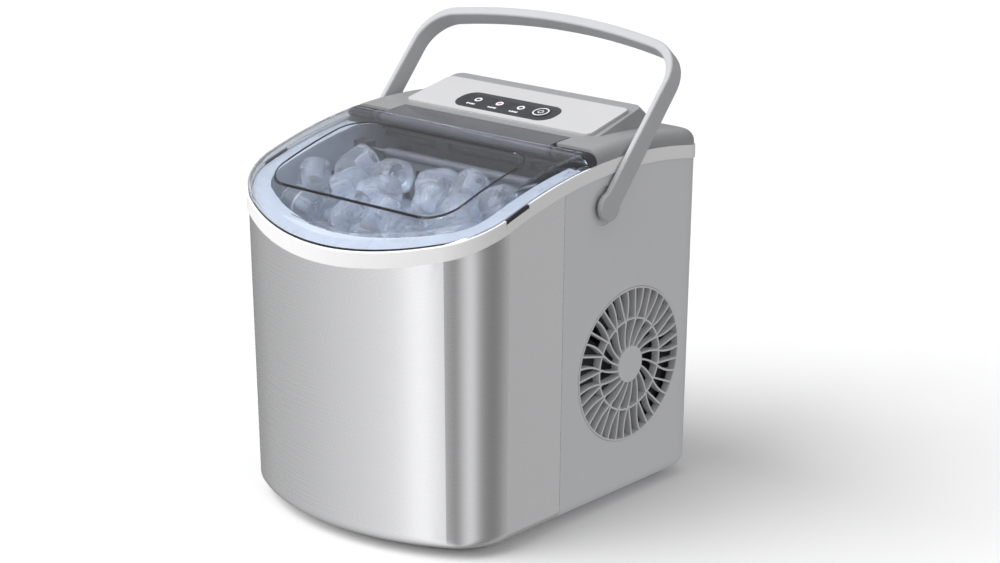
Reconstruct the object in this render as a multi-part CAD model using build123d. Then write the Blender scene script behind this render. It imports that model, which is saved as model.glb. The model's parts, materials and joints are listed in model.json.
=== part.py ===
from build123d import *
import os
from math import asin, atan2, cos, degrees, pi, radians, sin, sqrt

# Countertop ice maker, millimetres.  +Z is up, the bowed front faces -Y and
# the origin is the centre of the footprint, on the surface it stands on.

# ---------------------------------------------------------------- driving sizes
HALF_WIDTH = 117.5          # body without the trim band
HALF_DEPTH = 142.0
FRONT_RADIUS = 188.0        # bow of the front, about FRONT_CENTRE_Y
FRONT_CENTRE_Y = FRONT_RADIUS - HALF_DEPTH
CORNER_RADIUS = 47.0
REAR_RADIUS = 28.0
BODY_BOTTOM = 6.5
TAPER_TOP = 262.0           # the walls lean in from here down
BOTTOM_INSET = 3.4          # how far they have come in at the bottom
BOTTOM_FILLET = 9.0
SEAM_Y = -20.4              # front shell meets rear shell
STEEL = 1.4                 # front wrap wall
WALL = 2.2                  # moulded walls

ARC_Y, ARC_Z = 50.0, -145.5  # centre of the arch that every top edge follows
TRIM_TOP = 407.0             # arch radii
TRIM_BOTTOM = 397.5
FLANGE_TOP = 405.2
RIM_THICK = 2.4
CROWN_TOP = 417.0
CROWN_FILLET = 9.0
TRIM_PROUD = 0.8
FINGER_NOTCH = (-81.0, -58.0)   # where a finger gets under the lid, each side

HINGE_Y, HINGE_Z = 8.0, 264.5    # lid hinge axis, along X
HINGE_R = 5.0
HINGE_CLEAR = 0.45
LID_SWING_CLEAR = 0.7            # from the opened lid's outside to the cover
TONGUE_HALF = 79.3               # rear strip of the lid, inside the cover's notch
TONGUE_END = 28.8
NOTCH_HALF = 80.4
NOTCH_R = 22.4
EAR_X, EAR_WIDTH = 87.0, 5.2     # cover ears that carry the hinge pins
WINDOW = (173.0, 95.0)
WINDOW_Y, WINDOW_CORNER = -62.0, 21.0

PANEL_SLOPE = 12.33
PANEL_Y, PANEL_Z = 62.1, 277.9   # centre of the control panel's top face
PANEL_LENGTH = 48.7
PANEL_WIDTH = 178.0
PANEL_THICK = 2.2
CAPSULE = (94.0, 25.0)
CAPSULE_X, CAPSULE_V = -2.6, -6.2
LED_X = (-32.1, -11.2, 9.5)
BUTTON_X, BUTTON_R = 29.6, 7.4
BUTTON_TRAVEL = 0.8

PIVOT_Y, PIVOT_Z = 22.0, 229.5   # handle pivot axis, along X
HANDLE_LEAN = 41.5               # back from upright, at rest
HANDLE_INNER, HANDLE_OUTER = 119.0, 123.6
HANDLE_REACH = 131.5
HANDLE_BOW = 8.1
HANDLE_CORNER = 32.0
GRIP_THICK = 7.2
PIN_END = HANDLE_OUTER - 1.4     # the pivot pins stop inside the arms

GRILLE_Y, GRILLE_Z, GRILLE_R = 55.2, 105.1, 57.5
GRILLE_HUB = 13.5
GRILLE_PAIRS = 19                # a long rib and a short one that joins it
RIB_LONG_INNER = ((12.8, 20.0), (24.0, 10.0), (36.0, 1.6))  # radius, swirl in degrees
RIB_LONG_OUTER = ((36.0, 1.6), (46.0, -1.0), (56.6, 0.0))
RIB_SHORT = ((31.0, 4.9), (44.0, 7.9), (56.6, 9.5))
RIB_TIE = ((34.0, -12.4), (34.0, -4.8), (34.0, 2.8))
RIB_HALF, RIB_DEEP = 0.65, 6.0
VENT_PITCH, VENT_GAP = 9.0, 4.0  # slots in the left and rear walls
REAR_SCREWS = [(sx * 84.0, z) for z in (60.0, 215.0) for sx in (1, -1)]
SCREW_R = 1.8

TANK_INSET = 13.0
TANK_BACK = -4.0                 # rear wall of the reservoir
TANK_FLOOR = 46.0
LOFT_BACK = 79.0                 # rear wall of the freezing chamber above
LOFT_FLOOR = 175.0

BASKET_FLOOR, BASKET_RIM = 128.0, 200.0
BASKET_HALF, BASKET_FRONT_R = 80.0, 167.0
BASKET_WALL = 1.8
BASKET_BOW_END = -79.0           # where the bowed front wall hands over to the rest

TRAY_Y, TRAY_Z, TRAY_R = 42.0, 222.0, 32.0
TRAY_HALF = 70.0
SHOVEL_Y, SHOVEL_Z = 2.0, 240.0

COMPRESSOR_X, COMPRESSOR_Y, COMPRESSOR_R = -35.0, 92.0, 41.0
PUMP_X, PUMP_Y, PUMP_R = -50.0, 22.0, 17.0
HOSE_X = -80.0
DRAIN_X, DRAIN_Z = -96.0, 30.0
GLAND_X, GLAND_Z = 60.0, 40.0
FEET = [(sx * x, y) for x, y in ((76.0, -88.0), (86.0, 108.0)) for sx in (1, -1)]

BIG = 400.0


# ---------------------------------------------------------------- helpers
def block(x0, x1, y0, y1, z0, z1):
    """A box between two corners."""
    return Pos((x0 + x1) / 2, (y0 + y1) / 2, (z0 + z1) / 2) * Box(x1 - x0, y1 - y0, z1 - z0)


def rod_x(radius, x0, x1, y, z):
    """A cylinder along X."""
    return Pos((x0 + x1) / 2, y, z) * Rot(Y=90) * Cylinder(radius, x1 - x0)


def rod_y(radius, y0, y1, x, z):
    """A cylinder along Y."""
    return Pos(x, (y0 + y1) / 2, z) * Rot(X=90) * Cylinder(radius, y1 - y0)


def rod_z(radius, z0, z1, x, y):
    """A cylinder along Z."""
    return Pos(x, y, (z0 + z1) / 2) * Cylinder(radius, z1 - z0)


def mirrored(shape):
    """The shape and its mirror image across the middle of the machine."""
    return shape + mirror(shape, about=Plane.YZ)


def d_plan(half_width, front_radius, corner_radius, rear_y, rear_radius):
    """Plan outline: bowed front, large front corners, straight sides, flat back."""
    corner_x = half_width - corner_radius
    corner_y = FRONT_CENTRE_Y - sqrt((front_radius - corner_radius) ** 2 - corner_x ** 2)
    join = atan2(corner_x, FRONT_CENTRE_Y - corner_y)
    middle = (join + pi / 2) / 2
    join_x = front_radius * sin(join)
    join_y = FRONT_CENTRE_Y - front_radius * cos(join)
    rear_x = half_width - rear_radius
    diagonal = rear_radius * sin(pi / 4)
    edges = [
        ThreePointArc((-join_x, join_y), (0, FRONT_CENTRE_Y - front_radius), (join_x, join_y)),
        Line((rear_x, rear_y), (-rear_x, rear_y)),
    ]
    for s in (1, -1):
        on_corner = (s * (corner_x + corner_radius * sin(middle)), corner_y - corner_radius * cos(middle))
        on_rear = (s * (rear_x + diagonal), rear_y - rear_radius + diagonal)
        edges += [
            ThreePointArc((s * join_x, join_y), on_corner, (s * half_width, corner_y)),
            Line((s * half_width, corner_y), (s * half_width, rear_y - rear_radius)),
            ThreePointArc((s * half_width, rear_y - rear_radius), on_rear, (s * rear_x, rear_y)),
        ]
    return make_face(edges)


def outline(inset):
    """The body's plan, brought in by inset all round."""
    return d_plan(HALF_WIDTH - inset, FRONT_RADIUS - inset, CORNER_RADIUS - inset,
                  HALF_DEPTH - inset, REAR_RADIUS - inset)


def prism(plan, z0, z1):
    """A plan extruded between two heights."""
    return extrude(Pos(0, 0, z0) * plan, amount=z1 - z0)


def arch(radius):
    """The solid under an arch: a large cylinder across the machine."""
    return Pos(0, ARC_Y, ARC_Z) * Rot(Y=90) * Cylinder(radius, BIG)


def arch_height(y, radius):
    """Height of an arch at a place along the depth."""
    return ARC_Z + sqrt(radius ** 2 - (y - ARC_Y) ** 2)


def wall_inset(z):
    """How far the leaning body wall has come in at a height."""
    return BOTTOM_INSET * (TAPER_TOP - z) / (TAPER_TOP - BODY_BOTTOM)


def body_form(inset):
    """The leaning body with its rounded bottom, brought in by inset."""
    bottom = BODY_BOTTOM + inset
    solid = loft([Pos(0, 0, bottom) * outline(wall_inset(bottom) + inset),
                  Pos(0, 0, TAPER_TOP) * outline(inset)], ruled=True)
    return fillet(solid.faces().sort_by(Axis.Z)[0].edges(), BOTTOM_FILLET - inset)


def crown_form(inset):
    """Lid and top cover in one: arched top, rounded down at the edge."""
    solid = prism(outline(0.2 + inset), 180, 300) & arch(CROWN_TOP - inset)
    rim = [e for e in solid.edges() if e.center().Z > 190 and e.bounding_box().max.Z < 290
           and e.bounding_box().size.Z < 60]
    rim = [e for e in rim if not (e.bounding_box().size.X < 0.1 and e.bounding_box().size.Y < 0.1)]
    return fillet(rim, CROWN_FILLET - inset)


def tube(points, radii, outer, inner=0.0):
    """A pipe along straight runs joined by arcs."""
    path = FilletPolyline(*points, radius=radii)
    plane = Plane(origin=path @ 0, z_dir=path % 0)
    solid = sweep(plane * Circle(outer), path=path)
    if inner:
        solid -= sweep(plane * Circle(inner), path=path)
    return solid


PANEL = Plane(origin=(0, PANEL_Y, PANEL_Z), x_dir=(1, 0, 0),
              z_dir=(0, -sin(radians(PANEL_SLOPE)), cos(radians(PANEL_SLOPE))))
WALL_LEAN = degrees(atan2(BOTTOM_INSET, TAPER_TOP - BODY_BOTTOM))
GRILLE = Plane(origin=(HALF_WIDTH - wall_inset(GRILLE_Z), GRILLE_Y, GRILLE_Z), x_dir=(0, 1, 0),
               z_dir=(cos(radians(WALL_LEAN)), 0, -sin(radians(WALL_LEAN))))

NODES = {}


def node(name, shape):
    """Keep one finished piece under its name."""
    NODES[name] = shape


# ---------------------------------------------------------------- casing
def casing():
    """Front wrap, rear moulding, base pan, feet and the trim band."""
    outer = body_form(0) & arch(TRIM_BOTTOM - 0.1)
    open_bottom = prism(outline(20), 0, 12)
    front = outer - body_form(STEEL) - open_bottom
    node("front_shell", front & block(-BIG, BIG, -BIG, SEAM_Y, 0, BIG))

    rear = outer - body_form(WALL) - open_bottom
    rear &= block(-BIG, BIG, SEAM_Y + 0.3, BIG, 0, BIG)
    rear -= GRILLE * Cylinder(GRILLE_R, 12)
    for s in (1, -1):
        rear -= rod_x(4.1, s * 100 - 30, s * 100 + 30, PIVOT_Y, PIVOT_Z)
        recess_x = HALF_WIDTH - wall_inset(PIVOT_Z)
        rear -= rod_x(14, s * recess_x - 0.9, s * recess_x + 0.9, PIVOT_Y, PIVOT_Z)
    for i in range(8):
        z = 75 + VENT_PITCH * i
        rear -= block(-BIG, -100, 30, 100, z, z + VENT_GAP)
    for i in range(9):
        z = 85 + VENT_PITCH * i
        rear -= block(-25, 65, 120, BIG, z, z + VENT_GAP)
    rear -= rod_y(9.1, 120, 160, DRAIN_X, DRAIN_Z) + rod_y(7.1, 120, 160, GLAND_X, GLAND_Z)
    for x, z in REAR_SCREWS:
        rear -= rod_y(SCREW_R, 120, 160, x, z)
    node("rear_shell", rear)

    pan = prism(outline(BOTTOM_INSET + STEEL + 8), BODY_BOTTOM + WALL, BODY_BOTTOM + WALL + 2.5)
    for x in (-60, 0, 60):
        pan += block(x - 1.5, x + 1.5, -100, 100, BODY_BOTTOM + 0.2, BODY_BOTTOM + WALL)
    for x, y in FEET:
        pan -= rod_z(2.1, 0, 20, x, y)
    node("base_pan", pan)

    feet = []
    screws = []
    for x, y in FEET:
        foot = rod_z(10, 0, BODY_BOTTOM + WALL, x, y)
        foot = chamfer(foot.edges().sort_by(Axis.Z)[0], 1.5)
        feet.append(foot - rod_z(4, 0, 4, x, y) - rod_z(2.1, 0, 20, x, y))
        screws.append(rod_z(3.6, 1.6, 4, x, y) + rod_z(2, 4, BODY_BOTTOM + WALL + 5, x, y))
    node("rubber_feet", Compound(children=feet))
    node("foot_screws", Compound(children=screws))

    trim = prism(outline(-TRIM_PROUD), 150, 290) - prism(outline(WALL), 140, 300)
    trim = (trim & arch(TRIM_TOP)) - arch(TRIM_BOTTOM)
    notch = block(110, 125, FINGER_NOTCH[0], FINGER_NOTCH[1], 200, 290) - arch(TRIM_TOP - 5.5)
    node("trim_ring", trim - mirrored(notch))

    heads = []
    for x, z in REAR_SCREWS:
        surface = HALF_DEPTH - wall_inset(z)
        head = rod_y(3.4, surface, surface + 1.4, x, z) - rod_y(1.4, surface + 0.6, surface + 2, x, z)
        heads.append((head - body_form(0)) + rod_y(SCREW_R - 0.1, surface - 9, surface, x, z))
    node("rear_screws", Compound(children=heads))


# ---------------------------------------------------------------- top cover
def raised_block(inset):
    """The raised housing under the control panel, sloping on every side."""
    low = Pos(0, 74, 255) * RectangleRounded(202 - 2 * inset, 100 - 2 * inset, 10)
    high = Pos(0, 63, 295) * RectangleRounded(170 - 2 * inset, 50 - 2 * inset, 6)
    solid = loft([low, high])
    return solid & (PANEL * Pos(0, 0, -60 - PANEL_THICK - inset) * Box(BIG, BIG, 120))


def hinge_zone(radius, half):
    """Cylinder about the lid hinge axis."""
    return rod_x(radius, -half, half, HINGE_Y, HINGE_Z)


def top_cover():
    """Cover behind the lid, with the panel housing and the hinge ears."""
    front_edge = HINGE_Y + 0.8
    cover = crown_form(0) & block(-BIG, BIG, front_edge, BIG, 0, BIG)
    cover += raised_block(0) - arch(CROWN_TOP - 4)
    hollow = crown_form(2.4) & block(-BIG, BIG, front_edge - 1, BIG, 0, BIG)
    hollow += raised_block(2.4) - arch(CROWN_TOP - 6)
    cover -= hollow
    cover -= arch(TRIM_TOP + 0.15)
    cover -= hinge_zone(NOTCH_R, NOTCH_HALF)
    cover -= block(-NOTCH_HALF, NOTCH_HALF, 0, HINGE_Y + 14, 240, 290)
    cover -= hinge_zone(HINGE_R + HINGE_CLEAR, BIG / 2)
    cover -= block(-BIG, BIG, 0, HINGE_Y + HINGE_R + LID_SWING_CLEAR, HINGE_Z, 290)
    for s in (1, -1):
        x = s * EAR_X
        half = EAR_WIDTH / 2
        ear = rod_x(HINGE_R - 0.3, x - half, x + half, HINGE_Y, HINGE_Z)
        ear += block(x - half, x + half, HINGE_Y, HINGE_Y + 12, HINGE_Z - 3, HINGE_Z + 0.4)
        ear += block(x - half, x + half, HINGE_Y + 6, HINGE_Y + 14, HINGE_Z - 2, HINGE_Z + 4.6)
        cover += ear - rod_x(1.55, x - 5, x + 5, HINGE_Y, HINGE_Z)
    cover -= PANEL * Pos(CAPSULE_X, CAPSULE_V, -4) * Box(CAPSULE[0] - 4, CAPSULE[1] - 3, 12)
    cover -= PANEL * Pos(0, 0, 3) * panel_plate(PANEL_THICK + 3)
    for x in (-48, 48):
        for v in (-20, 12):
            cover += PANEL * Pos(x, v, -5.3) * Cylinder(2.5, 2.2)
    node("top_cover", cover)


def panel_plate(thick):
    """The plate's outline, a little narrower at the back, going down by thick."""
    front, back = PANEL_WIDTH / 2, PANEL_WIDTH / 2 - 1.8
    depth = PANEL_LENGTH / 2
    corners = Polyline((-front, -depth), (front, -depth), (back, depth), (-back, depth), close=True)
    plate = extrude(make_face(corners), amount=-thick)
    return fillet([e for e in plate.edges() if abs(e.bounding_box().size.Z - thick) < 0.01], 5)


def control_panel():
    """Sloping plate, dark capsule, lamps, key and the board under them."""
    plate = panel_plate(PANEL_THICK)
    pocket = extrude(Pos(CAPSULE_X, CAPSULE_V) * RectangleRounded(CAPSULE[0] + 0.2, CAPSULE[1] + 0.2, 11.1),
                     amount=-PANEL_THICK)
    node("control_panel", PANEL * (plate - pocket))

    lens = extrude(Pos(CAPSULE_X, CAPSULE_V, -PANEL_THICK) * RectangleRounded(*CAPSULE, 11),
                   amount=PANEL_THICK + 0.2)
    for x in LED_X:
        lens -= Pos(x, CAPSULE_V + 1, 0) * Cylinder(3, 10)
    lens -= Pos(BUTTON_X, CAPSULE_V, 0) * Cylinder(BUTTON_R + 0.25, 10)
    node("display_lens", PANEL * lens)

    lamps = []
    for x in LED_X:
        ring = Pos(x, CAPSULE_V + 1, -0.9) * Cylinder(3, 2.6)
        lamps.append(PANEL * (ring - Pos(x, CAPSULE_V + 1, 0.4) * Cylinder(1.9, 0.6)))
    node("indicator_lamps", Compound(children=lamps))

    key = Pos(BUTTON_X, CAPSULE_V, -1.6) * Cylinder(BUTTON_R, 4.8)
    key = chamfer(key.edges().sort_by(Axis.Z)[-1], 0.5)
    key -= Pos(BUTTON_X, CAPSULE_V, 0.75) * (Cylinder(6.3, 0.3) - Cylinder(5.4, 0.3))
    node("power_button", PANEL * key)

    board = Pos(0, -4, -7.2) * Box(104, 38, 1.6)
    board += Pos(BUTTON_X, CAPSULE_V, -5.8) * Box(6, 6, 1.2)
    for x in LED_X:
        board += Pos(x, CAPSULE_V + 1, -5.2) * Box(3, 3, 2.4)
    for i, x in enumerate((-44, -22, 0, 18, 42)):
        board += Pos(x, 7, -9.6) * Box(8 + 2 * (i % 2), 9, 3.2)
    node("control_board", PANEL * board)


# ---------------------------------------------------------------- lid
def window_plan(grow):
    """The clear window in the lid, a rounded rectangle seen from above."""
    wide, deep = WINDOW
    return Pos(0, WINDOW_Y) * RectangleRounded(wide + 2 * grow, deep + 2 * grow, WINDOW_CORNER + grow)


def lid():
    """Smoky frame, clear window, its seal, the hinge bar and pins."""
    skin = (crown_form(0) - crown_form(WALL)) - arch(TRIM_TOP + 0.4)
    frame = skin & block(-BIG, BIG, -BIG, HINGE_Y, 0, BIG)
    frame -= prism(window_plan(0.9), 150, 290)
    frame -= hinge_zone(HINGE_R + 0.02, BIG / 2)
    node("lid_frame", frame)

    node("lid_window", skin & prism(window_plan(0), 150, 290))
    seal = skin & (prism(window_plan(0.9), 150, 290) - prism(window_plan(0), 150, 290))
    node("lid_window_seal", seal)

    bar = hinge_zone(HINGE_R, HALF_WIDTH - 0.3) & crown_form(0)
    bar -= arch(TRIM_TOP + 0.4)
    strip = (crown_form(0) - crown_form(WALL)) & block(-TONGUE_HALF, TONGUE_HALF, HINGE_Y, TONGUE_END, 0, BIG)
    bar += strip
    for s in (1, -1):
        x = s * EAR_X
        bar -= block(x - EAR_WIDTH / 2 - 0.3, x + EAR_WIDTH / 2 + 0.3, 0, 30, 250, 290)
        bar -= rod_x(1.5, x - 10, x + 10, HINGE_Y, HINGE_Z)
    node("lid_hinge_bar", bar)
    node("lid_hinge_pins", Compound(children=[rod_x(1.5, s * EAR_X - 10, s * EAR_X + 10, HINGE_Y, HINGE_Z)
                                              for s in (1, -1)]))


# ---------------------------------------------------------------- handle
def handle():
    """Swing handle, drawn upright about its pivot and then leaned back."""
    def arch_face(half, reach, corner, bow):
        corner_x = half - corner
        shoulder = reach - corner
        tilt = asin(corner_x / ((corner_x ** 2 + bow ** 2) / (2 * bow)))
        sweep_end = (half - corner + corner * sin(tilt), shoulder + corner * cos(tilt))
        half_turn = (tilt + pi / 2) / 2
        on_corner = (corner_x + corner * sin(half_turn), shoulder + corner * cos(half_turn))
        edges = [Line((-half, -20), (half, -20)),
                 ThreePointArc((-sweep_end[0], sweep_end[1]), (0, reach + bow), sweep_end)]
        for s in (1, -1):
            edges += [Line((s * half, -20), (s * half, shoulder)),
                      ThreePointArc((s * half, shoulder), (s * on_corner[0], on_corner[1]),
                                    (s * sweep_end[0], sweep_end[1]))]
        return make_face(edges)

    outer = arch_face(HANDLE_OUTER, HANDLE_REACH, HANDLE_CORNER, HANDLE_BOW)
    inner = arch_face(HANDLE_INNER, HANDLE_REACH - GRIP_THICK, HANDLE_CORNER - 4.6, HANDLE_BOW)
    hoop = extrude(Plane.XZ * (outer - inner), amount=12, both=True)
    side = make_face(Polyline((-8.5, 4), (8.5, 4), (7, 150), (-7, 150), close=True)) + Circle(10.5)
    profile = extrude(Plane.YZ * side, amount=140, both=True)
    bar = hoop & profile
    bar = fillet(bar.edges(), 1.5)
    bar -= rod_x(4.05, -PIN_END - 0.2, PIN_END + 0.2, 0, 0)
    place = Pos(0, PIVOT_Y, PIVOT_Z) * Rot(X=-HANDLE_LEAN)
    node("handle_bar", place * bar)

    pins = []
    washers = []
    for s in (1, -1):
        inside = HALF_WIDTH - 8
        pin = rod_x(4, inside, PIN_END, PIVOT_Y, PIVOT_Z)
        pin += rod_x(8, inside - 2, inside + 2, PIVOT_Y, PIVOT_Z)
        washer = rod_x(9, HALF_WIDTH + 0.2, HANDLE_INNER - 0.2, PIVOT_Y, PIVOT_Z)
        washer -= rod_x(4.02, 0, BIG, PIVOT_Y, PIVOT_Z)
        pins.append(pin if s > 0 else mirror(pin, about=Plane.YZ))
        washers.append(washer if s > 0 else mirror(washer, about=Plane.YZ))
    node("handle_pivot_pins", Compound(children=pins))
    node("handle_washers", Compound(children=washers))


# ---------------------------------------------------------------- side grille
def rib_strip(stations):
    """A strip of even width along an arc through three (radius, angle) stations."""
    def side(shift, tie):
        return [Vector(r + shift * tie, 0).rotate(Axis.Z, angle + (1 - tie) * degrees(shift / r))
                for r, angle in stations]

    tie = 1 if stations[0][0] == stations[2][0] else 0
    left, right = side(RIB_HALF, tie), side(-RIB_HALF, tie)
    return make_face([ThreePointArc(*left), ThreePointArc(*right),
                      Line(left[0], right[0]), Line(left[2], right[2])])


def side_grille():
    """Round outlet grille: deep swirling ribs in joined pairs from a flat hub to a thin rim."""
    plan = Circle(GRILLE_R - 0.3) - Circle(GRILLE_R - 1.6) + Circle(GRILLE_HUB)
    strips = [rib_strip(line) for line in (RIB_LONG_INNER, RIB_LONG_OUTER, RIB_SHORT, RIB_TIE)]
    for i in range(GRILLE_PAIRS):
        plan += [Rot(Z=360 / GRILLE_PAIRS * i) * strip for strip in strips]
    body = extrude(Pos(0, 0, -RIB_DEEP + 0.2) * plan, amount=RIB_DEEP)
    body += Pos(0, 0, 0.4) * Cylinder(GRILLE_HUB, 0.6)
    body += Pos(0, 0, -WALL - 1.1) * (Cylinder(GRILLE_R + 3.5, 1.6) - Cylinder(GRILLE_R - 1.6, 2))
    node("side_grille", GRILLE * body)


# ---------------------------------------------------------------- inside, cold side
def tank_form(inset):
    """Reservoir below, freezing chamber above and behind."""
    low = prism(outline(TANK_INSET + inset), TANK_FLOOR + inset, 290)
    low &= block(-BIG, BIG, -BIG, TANK_BACK - inset, 0, BIG)
    high = prism(outline(TANK_INSET + inset), LOFT_FLOOR + inset, 290)
    high &= block(-BIG, BIG, -BIG, LOFT_BACK - inset, 0, BIG)
    return low + high


def cold_side():
    """Liner, foam, basket and the freezing mechanism."""
    liner = (tank_form(0) - tank_form(WALL)) & arch(FLANGE_TOP - RIM_THICK - 0.1)
    for s in (1, -1):
        ledge = block(62, 103.5, -70, -40, BASKET_FLOOR - 6, BASKET_FLOOR)
        liner += ledge if s > 0 else mirror(ledge, about=Plane.YZ)
    liner -= rod_y(4, -20, 0, PUMP_X, 60) + rod_y(4, -20, 0, DRAIN_X, 54)
    liner -= rod_z(4, 170, 180, HOSE_X, PUMP_Y)
    in_front = block(-BIG, BIG, -BIG, TANK_BACK, 0, BIG)
    node("inner_tank", liner & in_front)
    node("freezing_chamber", liner - in_front)

    rim = prism(outline(WALL + 0.3), 180, 290) - prism(outline(TANK_INSET + 4), 170, 300)
    rim &= block(-BIG, BIG, -BIG, HINGE_Y - HINGE_R - 0.6, 0, BIG)
    node("tank_rim", (rim & arch(FLANGE_TOP)) - arch(FLANGE_TOP - RIM_THICK))

    foam = body_form(5) - tank_form(-0.3)
    foam &= block(-BIG, BIG, -BIG, -8, 14, BIG)
    foam &= arch(FLANGE_TOP - 3)
    node("insulation_foam", foam)
    basket()
    freezing_mechanism()


def basket_plan(inset):
    """Plan of the ice basket."""
    return d_plan(BASKET_HALF - inset, BASKET_FRONT_R - inset, 26 - inset, -12 - inset, 12 - inset)


def basket():
    """Slotted ice basket with a finger tab at each end."""
    shell = prism(basket_plan(0), BASKET_FLOOR + 8, BASKET_RIM)
    shell += prism(basket_plan(9), BASKET_FLOOR, BASKET_FLOOR + 8)
    shell -= prism(basket_plan(BASKET_WALL), BASKET_FLOOR + 8 + BASKET_WALL, BASKET_RIM + 1)
    shell -= prism(basket_plan(9 + BASKET_WALL), BASKET_FLOOR + BASKET_WALL, BASKET_FLOOR + 12)
    for i in range(8):
        x = -59.5 + 17 * i
        shell -= block(x - 3.2, x + 3.2, -125, -60, BASKET_FLOOR + 11, BASKET_FLOOR + 33)
        shell -= block(x - 3.2, x + 3.2, -40, 0, BASKET_FLOOR + 11, BASKET_FLOOR + 33)
    for y in (-88, -67, -46):
        for s in (1, -1):
            x = s * BASKET_HALF
            shell -= block(x - 6, x + 6, y - 4, y + 4, BASKET_FLOOR + 14, BASKET_RIM - 12)
    for x in (-50, -25, 0, 25, 50):
        shell -= block(x - 3, x + 3, -95, -70, BASKET_FLOOR - 1, BASKET_FLOOR + 4)
    for s in (1, -1):
        x = s * (BASKET_HALF - BASKET_WALL / 2)
        tab = Plane(origin=(x, -67, BASKET_RIM), x_dir=(0, 1, 0), z_dir=(1, 0, 0))
        loop = Pos(0, 6) * RectangleRounded(38, 28, 7) - Pos(0, 8) * RectangleRounded(24, 11, 5.4)
        shell += tab * extrude(loop, amount=BASKET_WALL / 2, both=True)
        shell -= tab * extrude(Pos(0, 8) * RectangleRounded(24, 11, 5.4), amount=BASKET_WALL, both=True)
    base = block(-BIG, BIG, -BIG, BIG, 0, BASKET_FLOOR + 8 + BASKET_WALL)
    tabs = block(-BIG, BIG, -BIG, BIG, BASKET_RIM, BIG)
    bow = block(-BIG, BIG, -BIG, BASKET_BOW_END, 0, BIG)
    walls = shell - base - tabs
    node("basket_base", shell & base)
    node("basket_tabs", shell & tabs)
    node("basket_front", walls & bow)
    node("basket_back", walls - bow)


def freezing_mechanism():
    """Evaporator, fingers, tilting water tray, ice shovel and their drives."""
    plate = block(-64, 64, TRAY_Y - 16, TRAY_Y + 16, 236, 242)
    node("evaporator_plate", fillet(plate.edges().filter_by(Axis.Z), 4))

    fingers = []
    rows = [(26 * i - 52, TRAY_Y - 9) for i in range(5)] + [(26 * i - 39, TRAY_Y + 9) for i in range(4)]
    for x, y in rows:
        fingers.append(rod_z(5.5, 205, 236, x, y) + Pos(x, y, 205) * Sphere(5.5))
    node("freezing_fingers", Compound(children=fingers))

    pipe_y, pipe_z = TRAY_Y - 9.5, 245
    coil = rod_x(2.9, -102, 102, pipe_y, pipe_z)
    for x in (-52, 52):
        coil += block(x - 3, x + 3, pipe_y - 3, pipe_y + 3, 242, 245)
    node("evaporator_pipe", coil)

    bracket = block(-102.2, 102.2, TRAY_Y - 16, TRAY_Y - 7, 248, 250.4)
    for x in (-40, 40):
        bracket += block(x - 6, x + 6, TRAY_Y - 16, TRAY_Y - 12.6, 242, 248)
    node("evaporator_bracket", bracket)

    trough = rod_x(TRAY_R, -TRAY_HALF - 2, TRAY_HALF + 2, TRAY_Y, TRAY_Z)
    trough -= rod_x(TRAY_R - 2, -TRAY_HALF, TRAY_HALF, TRAY_Y, TRAY_Z)
    trough &= block(-BIG, BIG, -BIG, BIG, 0, TRAY_Z)
    trough += mirrored(rod_x(7, TRAY_HALF, TRAY_HALF + 2, TRAY_Y, TRAY_Z))
    node("water_tray", trough)
    node("tray_shaft", Compound(children=[rod_x(3, TRAY_HALF + 2, 92, TRAY_Y, TRAY_Z),
                                          rod_x(3, -92, -TRAY_HALF - 2, TRAY_Y, TRAY_Z)]))

    motor = rod_x(17, 84, 99, TRAY_Y, TRAY_Z)
    motor += block(99, 102.2, TRAY_Y - 22, TRAY_Y + 22, TRAY_Z - 8, TRAY_Z + 8)
    node("tray_motor", motor - rod_x(3.05, 80, 93, TRAY_Y, TRAY_Z))
    bearing = rod_x(8, -99, -84, TRAY_Y, TRAY_Z) + block(-102.2, -99, TRAY_Y - 14, TRAY_Y + 14,
                                                         TRAY_Z - 9, TRAY_Z + 9)
    node("tray_bearing", bearing - rod_x(3.05, -93, -80, TRAY_Y, TRAY_Z))

    comb = block(-72, 72, SHOVEL_Y - 1, SHOVEL_Y + 1, SHOVEL_Z - 9, SHOVEL_Z)
    for i in range(13):
        x = -69 + 11.5 * i
        comb += block(x - 3, x + 3, SHOVEL_Y - 1, SHOVEL_Y + 1, SHOVEL_Z - 33, SHOVEL_Z - 8)
    comb += rod_x(3.4, -72, 72, SHOVEL_Y, SHOVEL_Z)
    node("ice_shovel", comb - rod_x(2, -80, 80, SHOVEL_Y, SHOVEL_Z))
    node("shovel_shaft", rod_x(2, -96, 96, SHOVEL_Y, SHOVEL_Z))
    blocks = []
    for s in (1, -1):
        bush = block(90, 102.2, SHOVEL_Y - 5, SHOVEL_Y + 5, SHOVEL_Z - 6, SHOVEL_Z + 5)
        bush -= rod_x(2.05, 80, 97, SHOVEL_Y, SHOVEL_Z)
        blocks.append(bush if s > 0 else mirror(bush, about=Plane.YZ))
    node("shovel_bushes", Compound(children=blocks))

    eyes = []
    for s in (1, -1):
        eye = block(97, 102.2, -30, -20, 214, 226) + rod_x(3, 95, 97, -25, 220)
        eyes.append(eye if s > 0 else mirror(eye, about=Plane.YZ))
    node("ice_level_sensors", Compound(children=eyes))


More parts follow.
